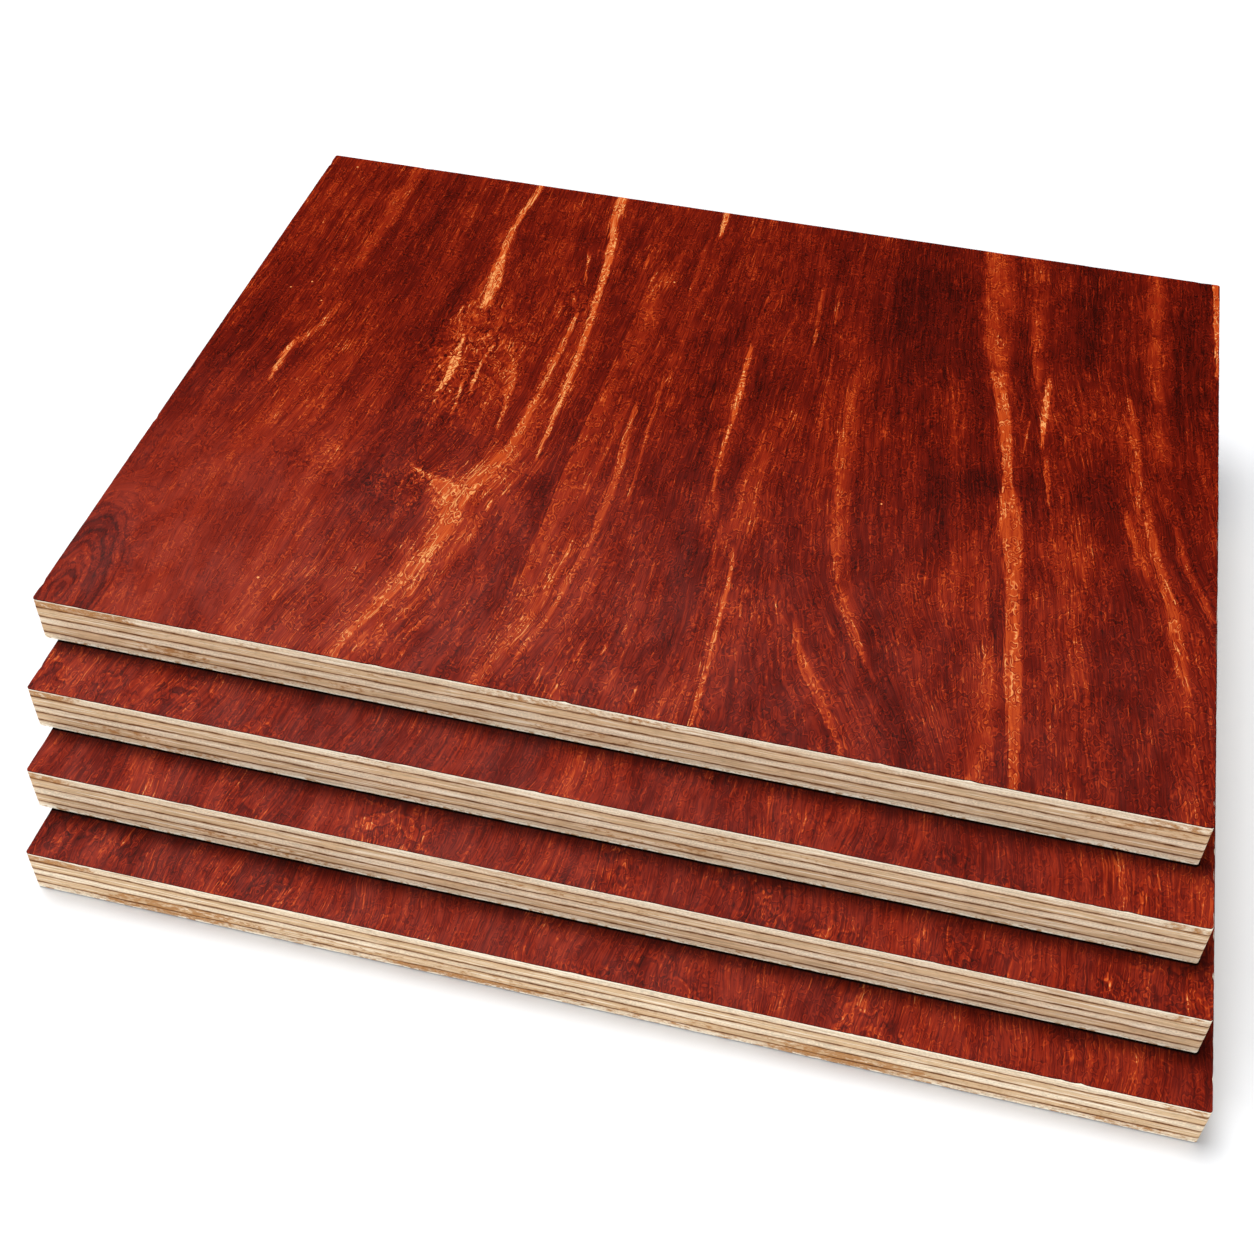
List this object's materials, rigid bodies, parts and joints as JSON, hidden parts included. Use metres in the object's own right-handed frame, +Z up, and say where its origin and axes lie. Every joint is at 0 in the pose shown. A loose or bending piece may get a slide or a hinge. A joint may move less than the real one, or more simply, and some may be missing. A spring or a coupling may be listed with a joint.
{
  "type": "stack of plywood sheets",
  "caption": "Loose stack of thick rectangular plywood sheets with a glossy red resin face, stepped so that the laminated front edges show.",
  "frame": {"origin": "on the floor, under the centre of the whole stack's bounding box", "axes": "+X along the sheets' long side, +Y to the back (the sheets step back that way as they go up), +Z up through their thickness"},
  "size_m": [0.3164, 0.277, 0.06],
  "materials": {
    "red_film": "red-brown phenolic resin film, semi-gloss, with the grain of the veneer showing through",
    "face_veneer": "sawn pale veneer edge, matt",
    "crossband_veneer": "sawn tan veneer edge, matt, slightly rough"
  },
  "bodies": {
    "root": {"sheet_1_bottom_film": "red_film", "sheet_1_bottom_face": "face_veneer", "sheet_1_lower_crossband": "crossband_veneer", "sheet_1_core": "face_veneer", "sheet_1_upper_crossband": "crossband_veneer", "sheet_1_top_face": "face_veneer", "sheet_1_top_film": "red_film", "sheet_2_bottom_film": "red_film", "sheet_2_bottom_face": "face_veneer", "sheet_2_lower_crossband": "crossband_veneer", "sheet_2_core": "face_veneer", "sheet_2_upper_crossband": "crossband_veneer", "sheet_2_top_face": "face_veneer", "sheet_2_top_film": "red_film", "sheet_3_bottom_film": "red_film", "sheet_3_bottom_face": "face_veneer", "sheet_3_lower_crossband": "crossband_veneer", "sheet_3_core": "face_veneer", "sheet_3_upper_crossband": "crossband_veneer", "sheet_3_top_face": "face_veneer", "sheet_3_top_film": "red_film", "sheet_4_bottom_film": "red_film", "sheet_4_bottom_face": "face_veneer", "sheet_4_lower_crossband": "crossband_veneer", "sheet_4_core": "face_veneer", "sheet_4_upper_crossband": "crossband_veneer", "sheet_4_top_face": "face_veneer", "sheet_4_top_film": "red_film"}
  },
  "joints": []
}
